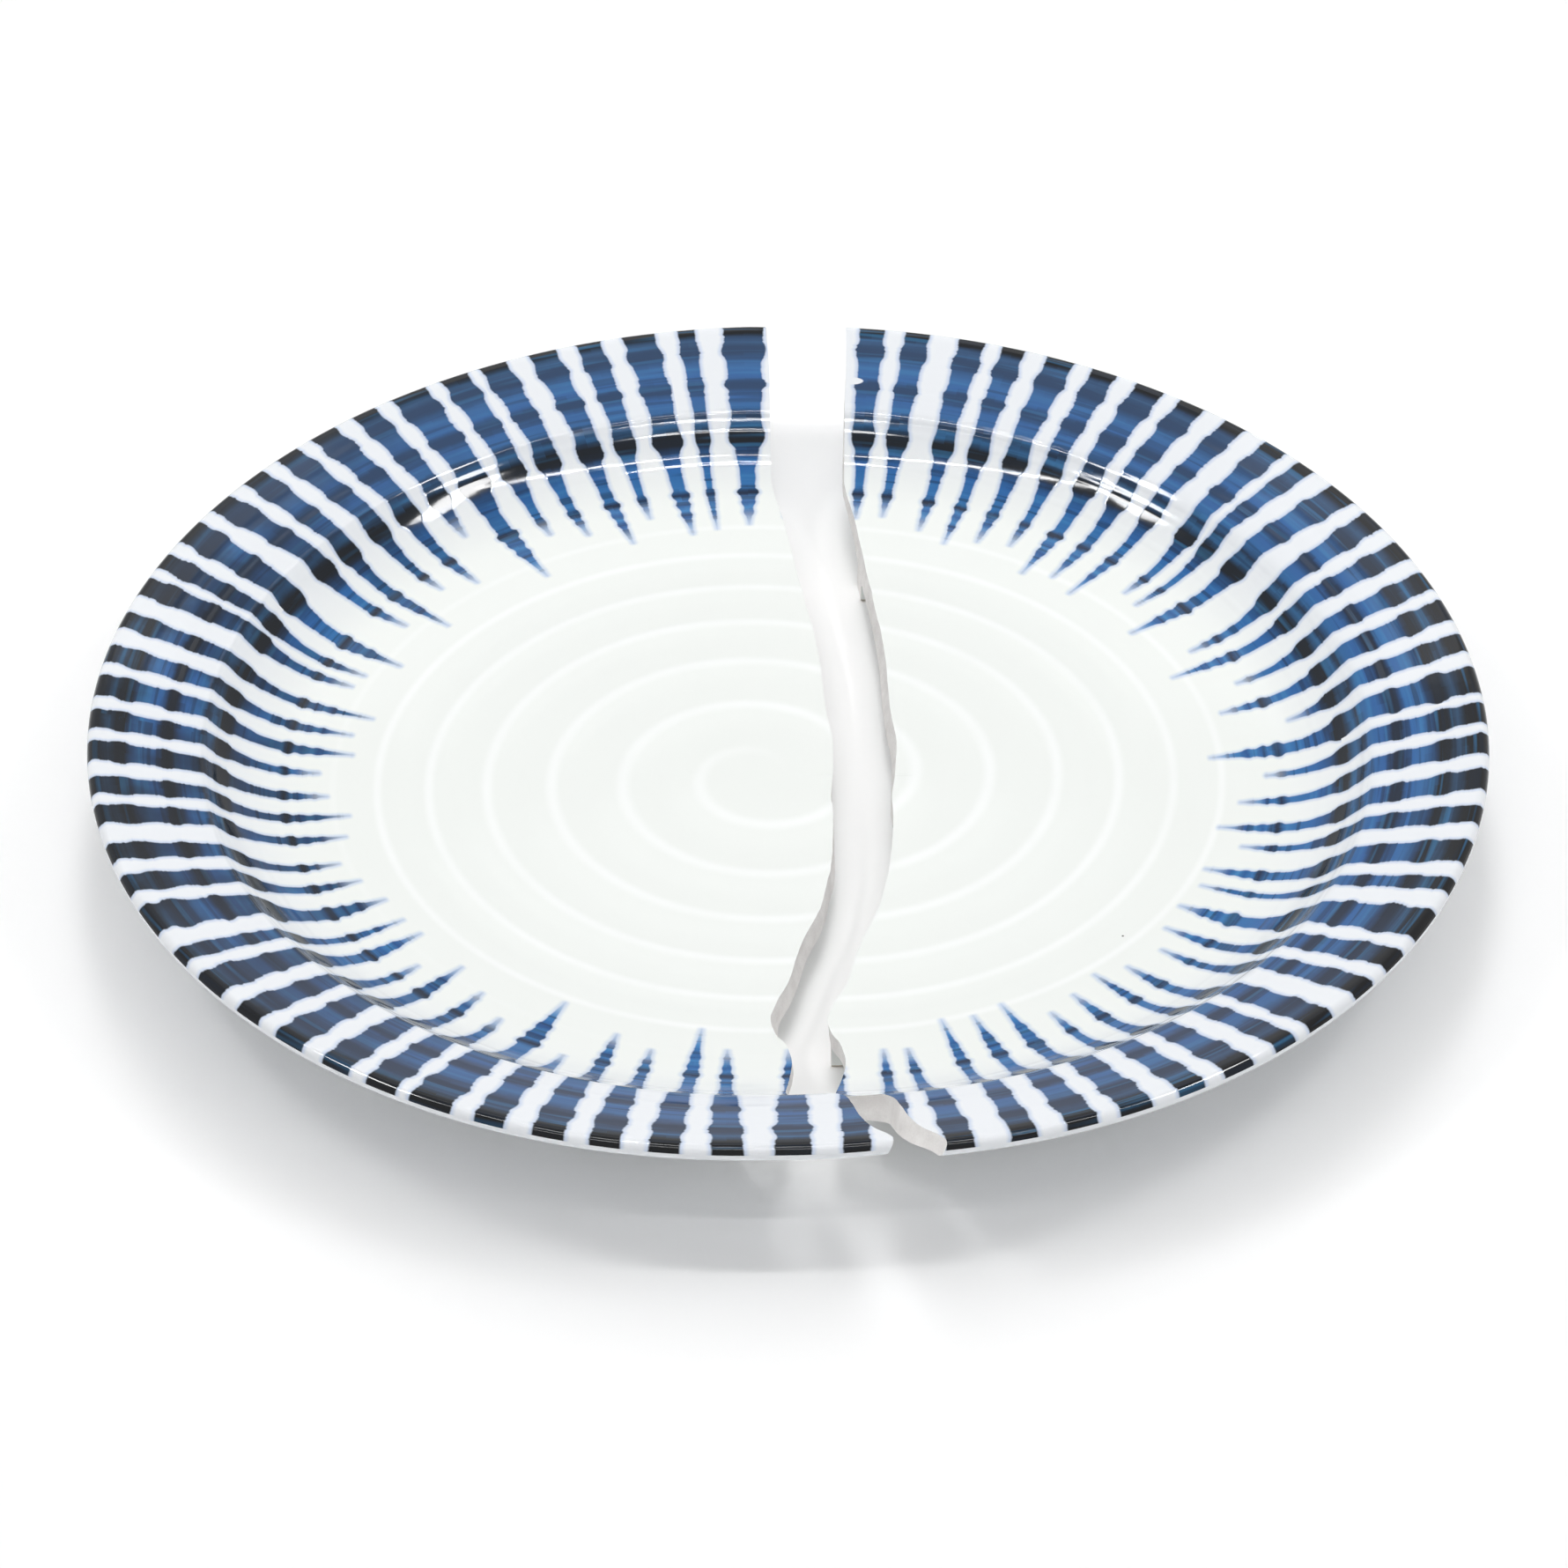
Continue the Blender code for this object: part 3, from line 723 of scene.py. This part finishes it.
def ring_at(radius, millimetres, width):
    """A smooth ring of the given half width in millimetres, 1 on its circle."""
    away = ((radius * MM - millimetres) / width).math("ABSOLUTE")
    return away.step(0.0, 1.0, 1.0, 0.0)


# %% What the glaze is painted from
RINGS_ASIDE = 0.0010
STROKE_SEED, TIP_SEED, SIDE_SEED, LANES = 31, 2900, 9, 3


def read_plate(tree):
    """Place, circle, stroke and noises at each point. The wheel's rings lie a little aside."""
    place = read_attribute(tree, "on_plate")
    x, y, _ = split(tree, place)
    offset, width, tip = split(tree, read_attribute(tree, "stroke"))
    angle = y.math("ARCTAN2", x)
    ring = ((x + RINGS_ASIDE) * (x + RINGS_ASIDE) + y * y).math("SQRT")
    seed = width * STROKE_SEED + tip * TIP_SEED
    rings = mottle(tree, join(tree, ring * MM, angle * LANES, seed), 0.80, 1.5)
    side = join(tree, ring * MM, seed + offset.math("SIGN") * SIDE_SEED, 0.0)
    return SimpleNamespace(
        place=place, x=x, y=y, angle=angle, radius=(x * x + y * y).math("SQRT"), ring=ring,
        offset=offset, width=width, tip=tip, rings=rings, dark_line=rings.step(0.36, 0.47, 1.0, 0.0),
        wobble=mottle(tree, side, 0.45, 4.0), cloud=mottle(tree, place, 60.0, 3.0),
        hair=mottle(tree, place, 900.0, 3.0),
    )


# %% Outline of the strokes
FULL_WIDTH_RADIUS, TAPER_POWER = 0.0955, 0.85
ARC_PER_DEGREE = 17.45  # millimetres in a degree, for a radius in metres
CHIP_X, CHIP_Y, CHIP_LENGTH, CHIP_WIDTH = 0.0052, 0.1060, 0.0026, 0.0009


def stroke_cover(tree, at):
    """How far the paint and its pale blue halo cover each point. A small chip of paint is gone."""
    points = [(radius_share(radius), width / WIDEST) for radius, width in STROKE_WIDTHS]
    sockets = {0: 1.0, 1: radius_share(at.ring * MM)}
    swell = add_node(tree, "ShaderNodeFloatCurve", {"points": points}, sockets) * WIDEST
    taper = ((at.radius - at.tip) / (FULL_WIDTH_RADIUS - at.tip)).math("MAXIMUM", 0.0)
    taper = taper.math("POWER", TAPER_POWER).math("MINIMUM", 1.0)
    half_width = at.width * 0.5 * swell * taper * (0.84 + at.wobble * 0.24) + at.dark_line * 0.09
    edge = at.offset.math("ABSOLUTE") + (at.hair - 0.5) * 0.10 - half_width
    edge = edge * at.radius * ARC_PER_DEGREE
    chip = ((at.x - CHIP_X) / CHIP_LENGTH).math("POWER", 2)
    chip = chip + ((at.y - CHIP_Y) / CHIP_WIDTH).math("POWER", 2)
    inside = (at.radius - at.tip).step(0.0, 0.0010) * (chip + at.cloud * 0.6).step(1.0, 1.3)
    return edge.step(-0.22, 0.20, 1.0, 0.0) * inside, edge.step(0.0, 1.1, 1.0, 0.0) * inside


# %% Colour of the pigment, and painted glare on the near side
KNOTS = ((104.8, 1.6), (95.4, 1.9), (84.6, 1.3))


def pigment_and_painted_glare(tree, at):
    """Cobalt by its circle, darker on the left, in the knots and in lines, and greyer on the far side. On
    the near side a grey tint is painted reflection, the glare of the white surroundings.
    """
    stops = [(radius_share(radius), tint(colour)) for radius, colour in STROKE_TINTS]
    shifted = radius_share(at.ring * MM) + (at.wobble - 0.5) * 0.030
    pigment = add_node(tree, "ShaderNodeValToRGB", {"stops": stops}, {0: shifted})
    left = (-at.x).step(0.02, 0.105)
    knots = sum(ring_at(at.ring, middle, width) for middle, width in KNOTS)
    flange = at.radius.step(0.097, 0.101) * at.radius.step(0.1155, 0.1172, 1.0, 0.0)
    layers = (
        (at.rings.step(0.54, 0.70) * 0.40, "3b82b6"),
        (at.dark_line * 0.52, "0f1d2e"),
        (left * at.cloud.step(0.30, 0.62) * 0.75, "0d1219"),
        (knots * (left * 0.5 + 0.25), "0b1118"),
        (at.y.step(0.020, 0.090) * flange * 0.34, "4a6c9c"),
        # Painted reflection: the near flange is tinted grey, standing in for the glare of the white
        # surroundings on the glaze.
        ((-at.y).step(0.030, 0.090) * flange * 0.36, "3a4f74"),
    )
    for factor, colour in layers:
        pigment = blend(tree, factor, pigment, colour)
    return pigment


# %% White ground, painted highlights on the crests, and iron specks
def ground_and_crest_highlights(tree, at, halo):
    """Slightly green in the well and blue on the flange, with painted highlights: the spiral's crests are
    painted a lighter white.
    """
    root = (SPIRAL_PITCH ** 2 - (at.radius - SPIRAL_START) * 4 * SPIRAL_TIGHTENING).math("SQRT")
    turns = (SPIRAL_PITCH - root) / (2 * SPIRAL_TIGHTENING) - at.angle / math.tau
    from_crest = 1 - (turns.math("FRACT") * 2 - 1).math("ABSOLUTE")
    crest = from_crest.step(0.0, 0.30, 1.0, 0.0) * at.radius.step(0.004, 0.012)
    crest = crest * at.radius.step(0.072, 0.080, 1.0, 0.0) * at.width.step(-1.0, 0.0)
    # Painted highlight: each crest of the spiral is painted a lighter white, standing in for the light it
    # catches.
    ground = blend(tree, crest * (0.35 + at.cloud * 0.8), "ecefec", "f4f6f5")
    ground = blend(tree, at.radius.step(0.080, 0.102), ground, "e9ecf0")
    return blend(tree, halo * 0.42, ground, "86a8d8")


def specked(tree, at, colour):
    spots = add_node(tree, "ShaderNodeTexVoronoi", None, {"Vector": at.place, "Scale": 75.0}, out=0)
    chosen = mottle(tree, at.place, 23.0).step(0.64, 0.66)
    return blend(tree, spots.step(0.016, 0.026, 1.0, 0.0) * chosen, colour, "4f4a47")


# %% Glaze
RIDGES = ((99.1, 0.7, 1.2), (97.0, 0.8, 0.8), (91.6, 1.0, 0.8), (112.0, 1.6, 0.4), (104.2, 1.2, 0.4))
GLAZE_IOR = 1.31


def paint_glaze(material):
    tree = fresh_tree(material)
    at = read_plate(tree)
    paint, halo = stroke_cover(tree, at)
    thin = (at.radius - at.tip).step(0.0, 0.0060, 0.85, 0.0)
    ground = ground_and_crest_highlights(tree, at, halo)
    colour = blend(tree, paint * (1 - thin), ground, pigment_and_painted_glare(tree, at))
    ridges = sum(ring_at(at.ring, middle, width) * height for middle, width, height in RIDGES)
    peel = mottle(tree, at.place, 260.0)
    height = ridges * 0.06 + at.rings * 0.012 + peel * 0.012 + paint * 0.01
    shade(tree, {
        "Base Color": specked(tree, at, colour),
        "Roughness": 0.035 + peel * 0.03 + paint * 0.02,
        "Normal": relief(tree, height, 1.0, 0.001),
        "IOR": GLAZE_IOR,
    })


paint_glaze(glaze)
print("glaze of", len(glaze.node_tree.nodes), "nodes")

# %% [markdown]
# ## Broken and bare porcelain
# A fresh break is matt and sugary and a little warmer than the glaze. The bare tread is
# fine-grained and has picked up some dirt. Both are noises at the size of the real grain, feeding
# colour, roughness and bump.

# %% Unglazed surfaces
def paint_bare(material, light, dark, grain, depth):
    tree = fresh_tree(material)
    place = read_attribute(tree, "on_plate")
    coarse = mottle(tree, place, grain / 9, 4.0)
    fine = mottle(tree, place, grain, 5.0, 0.7)
    shade(tree, {
        "Base Color": blend(tree, (coarse * 0.6 + fine * 0.4).step(0.36, 0.66), dark, light),
        "Roughness": 0.62 + fine * 0.25,
        "Normal": relief(tree, fine + coarse, 0.5, depth),
    })
    print(material.name, "of", len(tree.nodes), "nodes")


paint_bare(broken_face, "f7f5f3", "eae7e5", 2600.0, 0.0002)
paint_bare(bare_foot, "ddd3c4", "bfb09c", 2200.0, 0.00015)

# %% [markdown]
# ## Standing for the solids
# The frame already holds both halves as solids, for weight and contact. The halves made here take their
# looks: each stands for its solid and rides on the one body.

for side, half in halves.items():
    node = "left_piece" if side < 0 else "right_piece"
    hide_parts(node)
    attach(half, "root")
    print(half.name, "stands for", node)

# %% [markdown]
# ## Studio
# The plate lies on white, lit softly from above and behind, which throws its shadow towards the
# viewer. The floor is white by its own colour, and the camera sees the world as white. Glazed
# porcelain is shown by what it reflects. The soft box behind is hidden from reflections, and four
# narrow lamps, the glints, are seen only in them, where they draw bright marks on the far wall.

# %% Floor
FLOOR_REACH, FLOOR_WHITE, FLOOR_ROUGHNESS = 3, 0.98, 0.9


def white_floor():
    mesh = bpy.data.meshes.new("studio_floor")
    corners = [(x * FLOOR_REACH, y * FLOOR_REACH, 0) for x, y in ((-1, -1), (1, -1), (1, 1), (-1, 1))]
    mesh.from_pydata(corners, [], [(0, 1, 2, 3)])
    floor = bpy.data.objects.new("studio_floor", mesh)
    bpy.context.scene.collection.objects.link(floor)
    material = bpy.data.materials.new("white_paper")
    material.use_nodes = True
    shader = material.node_tree.nodes["Principled BSDF"]
    shader.inputs["Base Color"].default_value = (FLOOR_WHITE, FLOOR_WHITE, FLOOR_WHITE, 1.0)
    shader.inputs["Roughness"].default_value = FLOOR_ROUGHNESS
    shader.inputs["Specular IOR Level"].default_value = 0.0
    mesh.materials.append(material)
    return floor


white_floor()
print("floor of", 2 * FLOOR_REACH, "m")

# %% World: white to the camera and in mirrors, dimmer as a light
AMBIENT = 0.48


def white_world():
    world = bpy.data.worlds.new("white_studio")
    world.use_nodes = True
    tree = world.node_tree
    tree.nodes.clear()
    seen = add_node(tree, "ShaderNodeLightPath", out=0)
    mirrored = add_node(tree, "ShaderNodeLightPath", out=3)
    passed = add_node(tree, "ShaderNodeLightPath", out=6)
    shown = seen.math("MAXIMUM", mirrored).math("MAXIMUM", passed)
    strength = AMBIENT + shown * (1 - AMBIENT)
    sky = add_node(tree, "ShaderNodeBackground", None, {0: (1, 1, 1, 1), 1: strength})
    add_node(tree, "ShaderNodeOutputWorld", None, {0: sky})
    return world


bpy.context.scene.world = white_world()
print("world lights with", AMBIENT)

# %% Lamps: name, place, size in metres and power in watts, each aimed at the plate
LAMPS = (
    ("soft_box_behind", (0.0, 0.62, 1.30), (0.30, 0.8), 4.4),
    ("pale_card_behind", (0.0, 1.00, 1.10), (0.50, 0.40), 0.6),
    ("strip_above", (0.0, -0.09, 1.28), (1.20, 0.032), 2.6),
    ("strip_in_front", (0.0, -0.68, 1.15), (1.00, 0.022), 1.4),
    ("window_left", (-0.67, 0.0, 1.0), (0.28, 0.13), 1.6),
    ("window_right", (0.67, 0.0, 1.0), (0.28, 0.13), 1.6),
)
GLINTS = (
    ("glint_above", (0.0, -0.09, 1.27), (1.60, 0.030), 8.5),
    ("glint_in_front", (0.0, -0.68, 1.14), (1.40, 0.022), 5.2),
    ("glint_left", (-0.66, 0.0, 0.99), (0.34, 0.12), 4.6),
    ("glint_right", (0.66, 0.0, 0.99), (0.34, 0.12), 4.6),
)


def lamp(name, place, size, power):
    data = bpy.data.lights.new(name, "AREA")
    data.shape, data.size, data.size_y, data.energy = "RECTANGLE", size[0], size[1], power
    light = bpy.data.objects.new(name, data)
    bpy.context.scene.collection.objects.link(light)
    light.location = place
    light.rotation_euler = (Vector((0, 0, 0)) - Vector(place)).to_track_quat("-Z", "Y").to_euler()
    return light


lamps = [lamp(*kind) for kind in LAMPS]
lamps[0].visible_glossy = False
for kind in GLINTS:
    lamp(*kind).visible_diffuse = False
print(len(LAMPS), "lamps, and", len(GLINTS), "glints seen only in reflections")

# %% Camera
CAMERA_PLACE = (-0.00076, -0.74931, 0.60583)
CAMERA_LOOKS_DOWN = 38.651
CAMERA_LENS, CAMERA_SENSOR, CAMERA_CLIP = 121.35, 36.0, 0.01
camera = bpy.data.objects.new("photo_view", bpy.data.cameras.new("photo_view"))
bpy.context.scene.collection.objects.link(camera)
camera.location = CAMERA_PLACE
camera.rotation_euler = Euler((math.radians(90 - CAMERA_LOOKS_DOWN), 0, 0))
camera.data.lens, camera.data.sensor_width = CAMERA_LENS, CAMERA_SENSOR
camera.data.clip_start = CAMERA_CLIP
bpy.context.scene.camera = camera
bpy.context.scene.view_settings.view_transform = "Standard"
print("camera looks down by", CAMERA_LOOKS_DOWN, "degrees")
